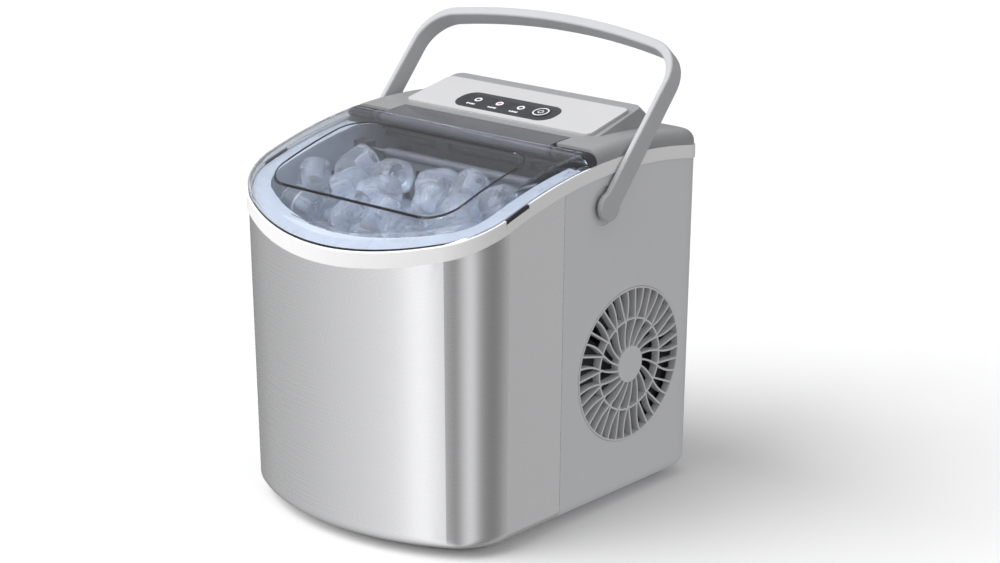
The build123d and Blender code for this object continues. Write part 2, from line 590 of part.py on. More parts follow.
# ---------------------------------------------------------------- inside, warm side
def warm_side():
    """Compressor, condenser, fan, pump, pipes and boards."""
    wall = block(-104, 104, TANK_BACK + 0.2, TANK_BACK + 1.8, 11.4, 172)
    wall -= rod_y(6, -10, 0, PUMP_X, 60) + rod_y(6.5, -10, 0, DRAIN_X, 54)
    node("bulkhead", wall)

    can = rod_z(COMPRESSOR_R, 26, 118, COMPRESSOR_X, COMPRESSOR_Y)
    can = fillet([can.edges().sort_by(Axis.Z)[-1], can.edges().sort_by(Axis.Z)[0]], 14)
    can += rod_z(COMPRESSOR_R + 1.5, 70, 74, COMPRESSOR_X, COMPRESSOR_Y)
    feet_at = [(COMPRESSOR_X + 33 * cos(radians(a)), COMPRESSOR_Y + 33 * sin(radians(a)))
               for a in (90, 210, 330)]
    can += rod_z(38, 22, 28, COMPRESSOR_X, COMPRESSOR_Y)
    for x, y in feet_at:
        can -= rod_z(3.2, 18, 30, x, y)
    node("compressor", can)
    node("compressor_grommets", Compound(children=[rod_z(7, 11.2, 22, x, y) for x, y in feet_at]))
    relay = block(COMPRESSOR_X + 44, COMPRESSOR_X + 58, COMPRESSOR_Y - 12, COMPRESSOR_Y + 14, 76, 106)
    relay += block(COMPRESSOR_X + 40.6, COMPRESSOR_X + 44, COMPRESSOR_Y - 8, COMPRESSOR_Y + 8, 80, 100)
    node("start_relay", relay - rod_z(COMPRESSOR_R + 0.02, 75, 120, COMPRESSOR_X, COMPRESSOR_Y))

    fins = block(40, 66, 4, 108, 48, 52) + block(40, 66, 4, 108, 156, 160)
    for y in (4, 106):
        fins += block(40, 66, y, y + 2, 48, 160)
    for i in range(25):
        y = 9.6 + 4 * i
        fins += block(42, 64, y - 0.5, y + 0.5, 50, 158)
    for i in range(5):
        fins += rod_y(3.5, 4, 108, 53, 62 + 21 * i)
    node("condenser", fins)

    duct = block(68, 104, 1, 109.4, GRILLE_Z - 54, GRILLE_Z + 54)
    duct -= rod_x(52, 60, 120, GRILLE_Y, GRILLE_Z)
    spokes = block(70, 73, GRILLE_Y - 53, GRILLE_Y + 53, GRILLE_Z - 2.5, GRILLE_Z + 2.5)
    spokes += block(70, 73, GRILLE_Y - 2.5, GRILLE_Y + 2.5, GRILLE_Z - 53, GRILLE_Z + 53)
    spokes += rod_x(20, 70, 73, GRILLE_Y, GRILLE_Z)
    node("fan_shroud", duct + spokes - rod_x(5, 60, 80, GRILLE_Y, GRILLE_Z))
    motor = rod_x(17, 73, 86, GRILLE_Y, GRILLE_Z)
    node("fan_motor", motor - rod_x(2.05, 76, 90, GRILLE_Y, GRILLE_Z))

    rotor = rod_x(14, 89, 101, GRILLE_Y, GRILLE_Z) + rod_x(2, 77, 89, GRILLE_Y, GRILLE_Z)
    blade_plan = make_face([Line((11, -7), (46, -13)), ThreePointArc((46, -13), (48, 0), (45, 15)),
                            Line((45, 15), (11, 7)), Line((11, 7), (11, -7))])
    blade = Rot(X=22) * extrude(blade_plan, amount=0.8, both=True)
    hub = Plane(origin=(95, GRILLE_Y, GRILLE_Z), x_dir=(0, 1, 0), z_dir=(1, 0, 0))
    for i in range(7):
        rotor += hub * (Rot(Z=360 / 7 * i) * blade)
    node("fan_rotor", rotor)

    housing = rod_z(PUMP_R, 11.2, 50, PUMP_X, PUMP_Y)
    housing -= rod_z(13, 14, 26, PUMP_X, PUMP_Y)
    housing -= rod_z(1.55, 26, 44, PUMP_X, PUMP_Y)
    node("water_pump", housing)
    wheel = rod_z(4, 15, 25, PUMP_X, PUMP_Y) + rod_z(12, 15, 16.5, PUMP_X, PUMP_Y)
    for i in range(6):
        wheel += Pos(PUMP_X, PUMP_Y) * Rot(Z=60 * i) * block(3, 11.5, -0.8, 0.8, 16, 24)
    node("pump_impeller", wheel + rod_z(1.5, 24, 42, PUMP_X, PUMP_Y))

    suction = tube([(PUMP_X, TANK_BACK, 60), (PUMP_X, PUMP_Y, 60), (PUMP_X, PUMP_Y, 50)], 8, 5, 3.5)
    delivery = tube([(PUMP_X - PUMP_R + 0.5, PUMP_Y, 34), (HOSE_X, PUMP_Y, 34), (HOSE_X, PUMP_Y, LOFT_FLOOR)],
                    12, 5, 3.5)
    delivery -= rod_z(PUMP_R, 11.2, 50, PUMP_X, PUMP_Y)
    node("pump_hoses", Compound(children=[suction, delivery]))

    drain = tube([(DRAIN_X, TANK_BACK, 54), (DRAIN_X, 30, 54), (DRAIN_X, 50, DRAIN_Z),
                  (DRAIN_X, 132, DRAIN_Z)], 14, 6, 4.2)
    surface = HALF_DEPTH - wall_inset(DRAIN_Z)
    drain += (rod_y(9, 132, 150, DRAIN_X, DRAIN_Z) & body_form(0.2)) - rod_y(5, 130, 150, DRAIN_X, DRAIN_Z)
    node("drain_tube", drain)
    plug = rod_y(10.5, surface - 6, surface + 2.4, DRAIN_X, DRAIN_Z) - body_form(0)
    plug += rod_y(4.9, 133, surface + 1, DRAIN_X, DRAIN_Z)
    plug += block(DRAIN_X - 6, DRAIN_X + 6, surface + 2.4, surface + 3.4, DRAIN_Z - 1.5, DRAIN_Z + 1.5)
    node("drain_plug", plug)

    node("filter_drier", rod_z(9, 40, 92, 24, 126) + rod_z(3, 30, 102, 24, 126))
    valve = rod_z(9, 122, 150, -88, 66) + block(-98, -78, 57, 75, 150, 168)
    node("hot_gas_valve", valve)
    discharge_y, suction_y = COMPRESSOR_Y - 18, COMPRESSOR_Y + 18
    pipes = [
        tube([(COMPRESSOR_X, discharge_y, 118), (COMPRESSOR_X, discharge_y, 146),
              (39.5, discharge_y, 146)], 10, 2.6),
        tube([(COMPRESSOR_X - 10, suction_y, 118), (COMPRESSOR_X - 10, suction_y, 160),
              (-88, suction_y, 160), (-88, 75, 160)], 10, 2.6),
        tube([(24, 126, 102), (24, 126, 152), (24, 100, 152), (39.5, 100, 152)], 7, 1.6),
    ]
    node("refrigerant_pipes", Compound(children=pipes))

    board = block(-111, -109.4, 44, 108, 66, 166)
    for y, z, size, tall in ((58, 82, 14, 9), (84, 82, 18, 11), (58, 112, 16, 7), (88, 118, 10, 6),
                             (60, 144, 12, 8), (90, 148, 16, 5)):
        board += block(-109.4, -109.4 + tall, y - size / 2, y + size / 2, z - size / 2, z + size / 2)
    node("power_board", board)

    surface = HALF_DEPTH - wall_inset(GLAND_Z)
    gland = rod_y(9.5, surface - 0.3, surface + 2.6, GLAND_X, GLAND_Z) - body_form(0)
    gland += rod_y(7, 128, surface + 1, GLAND_X, GLAND_Z)
    node("cord_gland", gland - rod_y(3.6, 120, 160, GLAND_X, GLAND_Z))


def main():
    casing()
    top_cover()
    control_panel()
    lid()
    handle()
    side_grille()
    cold_side()
    warm_side()
    os.makedirs("parts", exist_ok=True)
    for name, shape in NODES.items():
        export_step(shape, f"parts/{name}.step")


main()
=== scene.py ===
import json
import math
import random

import bmesh
import bpy
from mathutils import Matrix, Vector

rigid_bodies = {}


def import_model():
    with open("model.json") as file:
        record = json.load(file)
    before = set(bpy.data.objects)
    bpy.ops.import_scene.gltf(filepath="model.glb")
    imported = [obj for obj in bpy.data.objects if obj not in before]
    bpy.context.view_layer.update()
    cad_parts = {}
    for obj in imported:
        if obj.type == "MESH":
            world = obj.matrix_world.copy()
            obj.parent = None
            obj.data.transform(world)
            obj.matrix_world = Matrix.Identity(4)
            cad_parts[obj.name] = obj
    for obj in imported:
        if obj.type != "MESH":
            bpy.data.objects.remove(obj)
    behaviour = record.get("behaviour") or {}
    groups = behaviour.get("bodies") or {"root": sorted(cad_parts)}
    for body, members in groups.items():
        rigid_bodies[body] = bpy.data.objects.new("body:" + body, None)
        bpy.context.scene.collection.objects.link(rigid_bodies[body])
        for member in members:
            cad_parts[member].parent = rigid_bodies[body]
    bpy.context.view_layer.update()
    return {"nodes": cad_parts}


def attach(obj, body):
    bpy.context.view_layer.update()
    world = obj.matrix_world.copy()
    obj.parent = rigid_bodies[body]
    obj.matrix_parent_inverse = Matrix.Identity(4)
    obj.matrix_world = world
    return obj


# Countertop ice maker: studio scene.  Metres, +Z up, the bowed front faces -Y.

for item in list(bpy.data.objects):
    bpy.data.objects.remove(item)

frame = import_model()
NODES = frame["nodes"]

MM = 0.001


# ---------------------------------------------------------------- material kit
class Shader:
    """A node material with a Principled shader and small helpers."""

    def __init__(self, name):
        self.material = bpy.data.materials.new(name)
        self.material.use_nodes = True
        self.tree = self.material.node_tree
        self.tree.nodes.clear()
        self.out = self.add("ShaderNodeOutputMaterial")
        self.bsdf = self.add("ShaderNodeBsdfPrincipled")
        self.link(self.bsdf.outputs[0], self.out.inputs["Surface"])
        self.place = self.add("ShaderNodeTexCoord").outputs["Object"]

    def add(self, kind, **settings):
        made = self.tree.nodes.new(kind)
        for key, value in settings.items():
            setattr(made, key, value)
        return made

    def link(self, a, b):
        self.tree.links.new(a, b)

    def set(self, **values):
        for key, value in values.items():
            self.bsdf.inputs[key.replace("_", " ")].default_value = value
        return self

    def stretched(self, scale):
        """Object coordinates scaled by three factors."""
        mapping = self.add("ShaderNodeMapping")
        mapping.inputs["Scale"].default_value = scale
        self.link(self.place, mapping.inputs["Vector"])
        return mapping.outputs[0]

    def noise(self, scale, detail=3.0, vector=None, roughness=0.55):
        made = self.add("ShaderNodeTexNoise")
        made.inputs["Scale"].default_value = scale
        made.inputs["Detail"].default_value = detail
        made.inputs["Roughness"].default_value = roughness
        self.link(vector or self.place, made.inputs["Vector"])
        return made.outputs["Fac"]

    def span(self, value, low, high, from_low=0.3, from_high=0.7):
        made = self.add("ShaderNodeMapRange")
        made.inputs["From Min"].default_value = from_low
        made.inputs["From Max"].default_value = from_high
        made.inputs["To Min"].default_value = low
        made.inputs["To Max"].default_value = high
        self.link(value, made.inputs["Value"])
        return made.outputs[0]

    def mix(self, factor, a, b):
        made = self.add("ShaderNodeMix", data_type="RGBA")
        self.link(factor, made.inputs["Factor"])
        for socket, value in (("A", a), ("B", b)):
            target = [i for i in made.inputs if i.name == socket and i.type == "RGBA"][0]
            if isinstance(value, tuple):
                target.default_value = (*value, 1.0)
            else:
                self.link(value, target)
        return [o for o in made.outputs if o.type == "RGBA"][0]

    def magnitude(self, value):
        made = self.add("ShaderNodeMath", operation="ABSOLUTE")
        self.link(value, made.inputs[0])
        return made.outputs[0]

    def bump(self, height, strength, distance):
        made = self.add("ShaderNodeBump")
        made.inputs["Strength"].default_value = strength
        made.inputs["Distance"].default_value = distance
        self.link(height, made.inputs["Height"])
        return made.outputs[0]

    def let_lamps_through(self, tint):
        """Shadow rays pass, tinted, so what lies behind is lit."""
        path = self.add("ShaderNodeLightPath")
        passing = self.add("ShaderNodeBsdfTransparent")
        passing.inputs["Color"].default_value = (*tint, 1.0)
        blend = self.add("ShaderNodeMixShader")
        self.link(path.outputs["Is Shadow Ray"], blend.inputs[0])
        self.link(self.bsdf.outputs[0], blend.inputs[1])
        self.link(passing.outputs[0], blend.inputs[2])
        self.link(blend.outputs[0], self.out.inputs["Surface"])

    def finish(self, colour, rough, normal=None):
        for name, value in (("Base Color", colour), ("Roughness", rough), ("Normal", normal)):
            if value is not None:
                self.link(value, self.bsdf.inputs[name])
        return self.material


def shade(colour, factor):
    return tuple(channel * factor for channel in colour)


def grained(name, colour, rough=0.42, grain=0.06, texture=2600.0, depth=0.05, coat=0.0):
    """Moulded plastic or paint: fine grain, faint mottling and slight wear in the gloss."""
    s = Shader(name)
    s.set(Coat_Weight=coat)
    mottle = s.noise(22.0, 4.0)
    fine = s.noise(texture, 2.0)
    tone = s.mix(s.span(mottle, 0.0, 1.0), shade(colour, 1.0 - grain), shade(colour, 1.0 + grain * 0.5))
    tone = s.mix(s.span(fine, 0.0, 0.12), tone, shade(colour, 0.7))
    gloss = s.span(s.noise(60.0, 3.0), rough - 0.05, rough + 0.06)
    return s.finish(tone, gloss, s.bump(fine, 0.25, depth * MM))


def metal(name, colour, rough=0.3, along=(1.0, 1.0, 1.0), scale=400.0, depth=0.02):
    """Bare metal with a directional finish and a little staining."""
    s = Shader(name)
    s.set(Metallic=1.0)
    lines = s.noise(scale, 4.0, s.stretched(along))
    stain = s.noise(30.0, 3.0)
    tone = s.mix(s.span(lines, 0.0, 1.0), shade(colour, 0.85), shade(colour, 1.08))
    tone = s.mix(s.span(stain, 0.0, 0.25), tone, shade(colour, 0.6))
    return s.finish(tone, s.span(lines, rough - 0.06, rough + 0.1), s.bump(lines, 0.3, depth * MM))


def clear(name, tint, rough):
    """See-through plastic that also lets the lamps' light through."""
    s = Shader(name)
    s.set(Transmission_Weight=1.0, IOR=1.46)
    tone = s.mix(s.span(s.noise(60.0, 3.0), 0.0, 1.0), shade(tint, 0.96), tint)
    s.finish(tone, s.span(s.noise(140.0, 2.0), rough, rough + 0.03))
    s.let_lamps_through(tuple(channel ** 0.5 for channel in tint))
    return s.material


def brushed_wrap():
    """Stainless wrap, brushed level round the body, so its highlights stand upright."""
    s = Shader("brushed wrap")
    s.set(Metallic=1.0, Anisotropic=0.82, Anisotropic_Rotation=0.25)
    tangent = s.add("ShaderNodeTangent", direction_type="RADIAL", axis="Z")
    s.link(tangent.outputs[0], s.bsdf.inputs["Tangent"])
    hair = s.noise(900.0, 3.0, s.stretched((0.02, 0.02, 2.4)))
    broad = s.noise(40.0, 3.0, s.stretched((0.5, 0.5, 2.0)))
    tone = s.mix(s.span(hair, 0.0, 1.0), (0.775, 0.775, 0.78), (0.795, 0.795, 0.80))
    tone = s.mix(s.span(broad, 0.0, 0.05), tone, (0.70, 0.70, 0.71))
    return s.finish(tone, s.span(hair, 0.25, 0.30), s.bump(hair, 0.04, 0.004 * MM))


def ice_shader():
    s = Shader("bullet ice")
    s.set(Transmission_Weight=0.86, IOR=1.31, Roughness=0.05)
    cloud = s.noise(95.0, 4.0)
    frost = s.noise(420.0, 3.0)
    tone = s.mix(s.span(cloud, 0.0, 1.0), (0.82, 0.87, 0.95), (0.97, 0.98, 1.0))
    s.finish(tone, s.span(cloud, 0.02, 0.12), s.bump(frost, 0.25, 0.15 * MM))
    s.let_lamps_through((0.86, 0.90, 0.95))
    return s.material


def cover_shader():
    """Grey cover whose hinge ears, the only part in front, are smoked like the hinge."""
    s = Shader("grey cover")
    s.set(Coat_Weight=0.05)
    split = s.add("ShaderNodeSeparateXYZ")
    s.link(s.place, split.inputs[0])
    ears = s.span(split.outputs[1], 1.0, 0.0, 0.0131, 0.0135)
    fine = s.noise(2600.0, 2.0)
    tone = s.mix(s.span(s.noise(22.0, 4.0), 0.0, 1.0), (0.325, 0.327, 0.337), (0.34, 0.342, 0.352))
    tone = s.mix(s.span(fine, 0.0, 0.12), tone, (0.25, 0.25, 0.26))
    tone = s.mix(ears, tone, (0.06, 0.062, 0.07))
    return s.finish(tone, s.span(s.noise(60.0), 0.31, 0.42), s.bump(fine, 0.25, 0.05 * MM))


def hinge_shader():
    """Smoked strip, nearly black at its rounded ends."""
    s = Shader("smoked hinge")
    s.set(Coat_Weight=0.3)
    split = s.add("ShaderNodeSeparateXYZ")
    s.link(s.place, split.inputs[0])
    ends = s.span(s.magnitude(split.outputs[0]), 0.0, 1.0, 0.079, 0.083)
    cloud = s.mix(s.span(s.noise(30.0), 0.0, 1.0), (0.115, 0.12, 0.135), (0.135, 0.14, 0.155))
    tone = s.mix(ends, cloud, (0.022, 0.023, 0.027))
    return s.finish(tone, s.span(s.noise(90.0), 0.16, 0.24))


def glowing_shader(name, colour, glow):
    s = Shader(name)
    s.set(Emission_Strength=glow)
    s.bsdf.inputs["Emission Color"].default_value = (*colour, 1.0)
    tone = s.mix(s.span(s.noise(500.0), 0.0, 1.0), shade(colour, 0.9), colour)
    return s.finish(tone, s.span(s.noise(900.0), 0.25, 0.4))


MATERIALS = {
    "wrap": brushed_wrap(),
    "shell": grained("satin grey moulding", (0.745, 0.75, 0.765), 0.40, 0.02),
    "trim": grained("silver trim", (0.96, 0.96, 0.96), 0.33, 0.02, coat=0.1),
    "cover": cover_shader(),
    "panel": grained("silver panel", (0.62, 0.62, 0.632), 0.36, 0.02, coat=0.05),
    "display": grained("gloss black lens", (0.035, 0.037, 0.041), 0.16, 0.1, depth=0.01, coat=0.6),
    "handle": grained("grey handle", (0.53, 0.535, 0.55), 0.38, 0.03),
    "washer": grained("dark washer", (0.20, 0.205, 0.215), 0.45),
    "pan": grained("dark pan", (0.07, 0.072, 0.075), 0.5),
    "rubber": grained("rubber", (0.03, 0.03, 0.032), 0.7, 0.1, 1500.0, 0.1),
    "hose": grained("hose", (0.55, 0.57, 0.58), 0.45),
    "tank": grained("pale blue liner", (0.63, 0.675, 0.74), 0.28, 0.03, depth=0.02, coat=0.3),
    "basket": grained("pale grey basket", (0.72, 0.74, 0.77), 0.3, 0.03, coat=0.2),
    "smoke": grained("smoke grey mechanism", (0.13, 0.14, 0.16), 0.34, coat=0.1),
    "foam": grained("pale foam", (0.80, 0.76, 0.62), 0.9, 0.12, 700.0, 0.4),
    "black": grained("black paint", (0.025, 0.025, 0.027), 0.38, 0.1, 900.0),
    "board": grained("green board", (0.03, 0.16, 0.08), 0.4, 0.15, 400.0),
    "seal": grained("dark seal", (0.02, 0.022, 0.026), 0.4),
    "cold": metal("dull nickel plate", (0.20, 0.205, 0.215), 0.34, depth=0.004),
    "steel": metal("plain steel", (0.62, 0.62, 0.63), 0.28, (1, 1, 30), 60.0),
    "fins": metal("aluminium fins", (0.70, 0.71, 0.72), 0.35),
    "copper": metal("copper", (0.72, 0.40, 0.27), 0.26),
    "motor": metal("zinc motor can", (0.55, 0.56, 0.57), 0.36),
    "sleeve": grained("foam pipe sleeve", (0.05, 0.052, 0.058), 0.6, 0.1, 800.0, 0.04),
    "smoky lid": clear("smoky lid", (0.74, 0.765, 0.81), 0.02),
    "clear lid": clear("clear window", (0.80, 0.825, 0.875), 0.015),
    "hinge": hinge_shader(),
    "ice": ice_shader(),
    # Painted glow: the white print is no lamp, yet it emits a little light so it reads whiter.
    "mark": glowing_shader("white print painted glow", (0.88, 0.89, 0.91), 0.3),
    "lit": glowing_shader("lit lamp", (0.9, 0.92, 0.95), 0.3),
    "red": glowing_shader("red lamp", (0.85, 0.12, 0.14), 0.5),
}

FINISHES = {
    "wrap": ["front_shell"],
    "shell": ["rear_shell", "side_grille"],
    "trim": ["trim_ring"],
    "cover": ["top_cover"],
    "panel": ["control_panel"],
    "display": ["display_lens", "power_button"],
    "handle": ["handle_bar"],
    "washer": ["handle_washers", "handle_pivot_pins"],
    "pan": ["base_pan", "bulkhead", "fan_shroud", "fan_rotor", "cord_gland"],
    "rubber": ["rubber_feet", "compressor_grommets", "drain_plug"],
    "hose": ["pump_hoses", "drain_tube"],
    "tank": ["inner_tank", "freezing_chamber", "tank_rim"],
    "basket": ["basket_base", "basket_front", "basket_back", "basket_tabs"],
    "smoke": ["water_tray", "ice_shovel", "tray_motor", "tray_bearing", "shovel_bushes"],
    "foam": ["insulation_foam"],
    "black": ["compressor", "water_pump", "pump_impeller", "start_relay", "ice_level_sensors"],
    "board": ["control_board", "power_board"],
    "seal": ["lid_window_seal"],
    "steel": ["lid_hinge_pins", "rear_screws", "foot_screws"],
    "cold": ["evaporator_plate", "freezing_fingers", "evaporator_bracket", "tray_shaft", "shovel_shaft"],
    "fins": ["condenser"],
    "copper": ["refrigerant_pipes", "filter_drier", "hot_gas_valve"],
    "sleeve": ["evaporator_pipe"],
    "motor": ["fan_motor"],
    "smoky lid": ["lid_frame"],
    "clear lid": ["lid_window"],
    "hinge": ["lid_hinge_bar"],
    "lit": ["indicator_lamps"],
}

finish_of = {name: key for key, names in FINISHES.items() for name in names}
for name, thing in NODES.items():
    mesh = thing.data
    mesh.materials.clear()
    mesh.materials.append(MATERIALS[finish_of.get(name, "motor")])
    mesh.shade_smooth()
    mesh.set_sharp_from_angle(angle=math.radians(32))


# ---------------------------------------------------------------- new pieces
def piece(name, bm, material, body):
    """An object from a bmesh, riding on a CAD body."""
    mesh = bpy.data.meshes.new(name)
    bm.to_mesh(mesh)
    bm.free()
    mesh.materials.append(MATERIALS[material])
    made = bpy.data.objects.new(name, mesh)
    bpy.context.scene.collection.objects.link(made)
    mesh.shade_smooth()
    mesh.set_sharp_from_angle(angle=math.radians(40))
    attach(made, body)
    return made


def panel_frame():
    """Matrix of the sloping panel: its top face is z = 0 at its middle."""
    slope = math.radians(12.33)
    return Matrix.Translation((0, 62.1 * MM, 277.9 * MM)) @ Matrix.Rotation(slope, 4, "X")


def flat_bar(bm, frame_matrix, x, y, wide, high, z0, z1, turn=0.0, round_end=0.3):
    """A thin printed bar with rounded corners, in millimetres on a frame."""
    ring = []
    for cx, cy, a0 in ((1, 1, 0), (-1, 1, 90), (-1, -1, 180), (1, -1, 270)):
        for step in range(4):
            a = math.radians(a0 + 30 * step)
            ring.append((cx * (wide / 2 - round_end) + round_end * math.cos(a),
                         cy * (high / 2 - round_end) + round_end * math.sin(a)))
    spin = Matrix.Rotation(math.radians(turn), 4, "Z")
    place = frame_matrix @ Matrix.Translation((x * MM, y * MM, 0)) @ spin
    rings = [[bm.verts.new(place @ Vector((u * MM, v * MM, z * MM))) for u, v in ring] for z in (z0, z1)]
    bm.faces.new(rings[1])
    bm.faces.new(list(reversed(rings[0])))
    count = len(ring)
    for i in range(count):
        j = (i + 1) % count
        bm.faces.new((rings[0][i], rings[0][j], rings[1][j], rings[1][i]))


def band(bm, frame_matrix, x, y, r0, r1, z0, z1, a0=0.0, a1=360.0, steps=48):
    """Part or all of a flat ring, in millimetres on a frame."""
    whole = a1 - a0 >= 360.0
    count = steps if whole else steps + 1
    loops = []
    for r, z in ((r0, z0), (r1, z0), (r1, z1), (r0, z1)):
        loop = []
        for i in range(count):
            a = math.radians(a0 + (a1 - a0) * i / steps)
            at = Vector(((x + r * math.cos(a)) * MM, (y + r * math.sin(a)) * MM, z * MM))
            loop.append(bm.verts.new(frame_matrix @ at))
        loops.append(loop)
    for k in range(4):
        near, far = loops[k], loops[(k + 1) % 4]
        for i in range(steps):
            j = (i + 1) % count
            bm.faces.new((near[i], near[j], far[j], far[i]))
    if not whole:
        bm.faces.new([loop[0] for loop in loops])
        bm.faces.new([loop[-1] for loop in reversed(loops)])


PANEL = panel_frame()
LAMPS = (-32.1, -11.2, 9.5)
KEY_X, KEY_Y = 29.6, -6.2


def panel_marks():
    """Printed marks under the lamps, lamp hearts, and the key's ring and sign; the print, ring and sign
    carry a painted glow.
    """
    lens_top, print_top = 0.2, 0.28
    marks = bmesh.new()
    for x in LAMPS:
        for i, (dx, wide) in enumerate(((-2.9, 1.9), (-0.6, 1.7), (1.6, 1.8), (3.5, 1.2))):
            tall = (2.1, 1.6, 2.1, 1.8)[(i + int(x)) % 4]
            at, tilt = x + dx - 1.2, 6 * (i % 3 - 1)
            flat_bar(marks, PANEL, at, -13.0, wide * 0.8, tall, lens_top, print_top, tilt)
            flat_bar(marks, PANEL, at, -13.0, wide * 1.1, 0.5, lens_top, print_top + 0.01)
    piece("lamp_marks", marks, "mark", "machine")

    hearts = bmesh.new()
    for i, x in enumerate(LAMPS):
        if i != 1:
            band(hearts, PANEL, x, -5.2, 0.0001, 1.75, 0.05, 0.3, steps=24)
    piece("lamp_hearts", hearts, "display", "machine")
    red = bmesh.new()
    band(red, PANEL, LAMPS[1], -5.2, 0.0001, 1.75, 0.05, 0.3, steps=24)
    piece("lamp_heart_lit", red, "red", "machine")

    sign = bmesh.new()
    band(sign, PANEL, KEY_X, KEY_Y, 5.42, 6.28, 0.62, 0.87)
    band(sign, PANEL, KEY_X, KEY_Y, 1.9, 2.4, 0.8, 0.87, 120, 420)
    flat_bar(sign, PANEL, KEY_X, KEY_Y + 1.9, 0.55, 2.4, 0.8, 0.88, 0, 0.2)
    piece("key_ring_and_sign", sign, "mark", "button")


def arched_bars(name, low_radius, high_radius, x_out, material):
    """A pair of short bars that follow the arch, one in each finger notch of the trim."""
    bm = bmesh.new()
    for side in (1, -1):
        rings = []
        for i in range(9):
            y = -80.8 + 22.6 * i / 8
            low, high = lid_height(y, low_radius), lid_height(y, high_radius)
            ring = [(115.6, low), (x_out, low), (x_out, high), (115.6, high)]
            rings.append([bm.verts.new((side * x * MM, y * MM, z * MM)) for x, z in ring])
        for near, far in zip(rings, rings[1:]):
            for k in range(4):
                j = (k + 1) % 4
                bm.faces.new((near[k], near[j], far[j], far[k]))
        bm.faces.new(rings[0])
        bm.faces.new(list(reversed(rings[-1])))
    bmesh.ops.recalc_face_normals(bm, faces=bm.faces)
    piece(name, bm, material, "machine")


def lid_height(y, radius):
    """Height of an arch over a place along the depth, in millimetres."""
    return -145.5 + math.sqrt(radius ** 2 - (y - 50.0) ** 2)


def bullet(bm, place, rng):
    """One bullet of ice: a domed stub with the bore its finger left."""
    wide, long_ = rng.uniform(12.2, 13.4), rng.uniform(27.0, 31.0)
    profile = [(0.0, -long_ * 0.5 + 15), (3.6, -long_ * 0.5 + 14.4), (4.6, -long_ * 0.5 + 11),
               (5.2, -long_ * 0.5 + 1.2), (6.6, -long_ * 0.5), (wide - 2.4, -long_ * 0.5),
               (wide - 0.6, -long_ * 0.5 + 1.6), (wide, -long_ * 0.5 + 5), (wide * 0.985, long_ * 0.14),
               (wide * 0.93, long_ * 0.26), (wide * 0.80, long_ * 0.37), (wide * 0.58, long_ * 0.45),
               (wide * 0.30, long_ * 0.49), (0.0, long_ * 0.5)]
    steps = 18
    phase, waves = rng.uniform(0, 6.28), rng.choice((3, 4, 5))
    rings = []
    for r, z in profile:
        if r == 0.0:
            rings.append([bm.verts.new(place @ Vector((0, 0, z * MM)))])
            continue
        ring = []
        for i in range(steps):
            a = math.tau * i / steps
            wobble = 1.0 + 0.035 * math.sin(waves * a + phase + z * 0.11) + 0.02 * math.sin(7 * a - z * 0.3)
            ring.append(bm.verts.new(place @ Vector((r * wobble * math.cos(a) * MM,
                                                     r * wobble * math.sin(a) * MM, z * MM))))
        rings.append(ring)
    for near, far in zip(rings, rings[1:]):
        for i in range(steps):
            j = (i + 1) % steps
            if len(near) == 1:
                bm.faces.new((near[0], far[j], far[i]))
            elif len(far) == 1:
                bm.faces.new((near[i], near[j], far[0]))
            else:
                bm.faces.new((near[i], near[j], far[j], far[i]))


def in_heap(x, y, z, r):
    """True if a ball of ice fits inside the basket, or inside the liner above its rim."""
    bow = math.hypot(x, y - 46.0)
    if z < 203.0:
        if abs(x) + r > 77.5 or y + r > -14.5 or bow + r > 164.5:
            return False
        return abs(x) < 56.0 or math.hypot(abs(x) - 52.0, y + 70.0) + r < 44.0 or y > -76.0
    back = -18.8 if abs(x) < 80.0 else -33.0
    if abs(x) + r > 98.5 or y + r > back or bow + r > 169.5:
        return False
    if abs(x) > 62.0 and y < -68.0 and math.hypot(abs(x) - 62.0, y + 68.0) + r > 41.0:
        return False
    return z + r < lid_height(y - 0.4 * r, 405.0)


def ice_heap():
    """Bullets laid in loose layers down from under the lid, then dropped into what is left."""
    rng = random.Random(11)
    balls = []
    bm = bmesh.new()

    def spots_of(x, y, z, axis):
        return [(x + axis.x * d, y + axis.y * d, z + axis.z * d) for d in (-3.4, 3.4)]

    def free(spots, apart):
        if not all(in_heap(*p, 12.6) for p in spots):
            return False
        x, y, z = spots[0]
        near = [q for q in balls if abs(q[0] - x) < 30 and abs(q[1] - y) < 30 and abs(q[2] - z) < 30]
        return all(math.dist(p, q) > apart for p in spots for q in near)

    def tumbled():
        turn = Matrix.Rotation(rng.uniform(0, math.tau), 3, "Z")
        return turn @ Matrix.Rotation(rng.uniform(0.7, 2.4), 3, "X")

    def lay(x, y, z, turn):
        balls.extend(spots_of(x, y, z, turn @ Vector((0, 0, 1))))
        bullet(bm, Matrix.Translation((x * MM, y * MM, z * MM)) @ turn.to_4x4(), rng)

    for layer in range(3):
        for row in range(5):
            for column in range(8):
                best = None
                for _ in range(14):
                    x = -88 + 25.5 * column + (12 if (row + layer) % 2 else 0) + rng.uniform(-5, 5)
                    y = -36 - 21.5 * row - 5 * layer + rng.uniform(-4, 4)
                    turn = tumbled()
                    z = 252.0
                    while z > 150 and not free(spots_of(x, y, z, turn @ Vector((0, 0, 1))), 23.2):
                        z -= 1.5
                    if best is None or z > best[2]:
                        best = (x, y, z, turn)
                if best[2] > 228 - 26 * layer:
                    lay(*best)
    for _ in range(1500):
        x, y, turn = rng.uniform(-92, 92), rng.uniform(-128, -26), tumbled()
        for z in (242, 236, 230, 224, 218, 212, 206, 196, 186, 176, 166, 156, 151):
            if free(spots_of(x, y, z, turn @ Vector((0, 0, 1))), 23.4):
                lay(x, y, z, turn)
                break
    bmesh.ops.recalc_face_normals(bm, faces=bm.faces)
    return piece("ice_bullets", bm, "ice", "basket")


panel_marks()
arched_bars("notch_sills", 401.55, 404.2, 118.25, "trim")
# Painted shadow: dark bars in the top of each finger notch stand for the shaded slit between lid and trim;
# the sills below keep the trim colour.
arched_bars("notch_painted_shadow_pads", 404.25, 406.6, 117.9, "seal")
ice_heap()


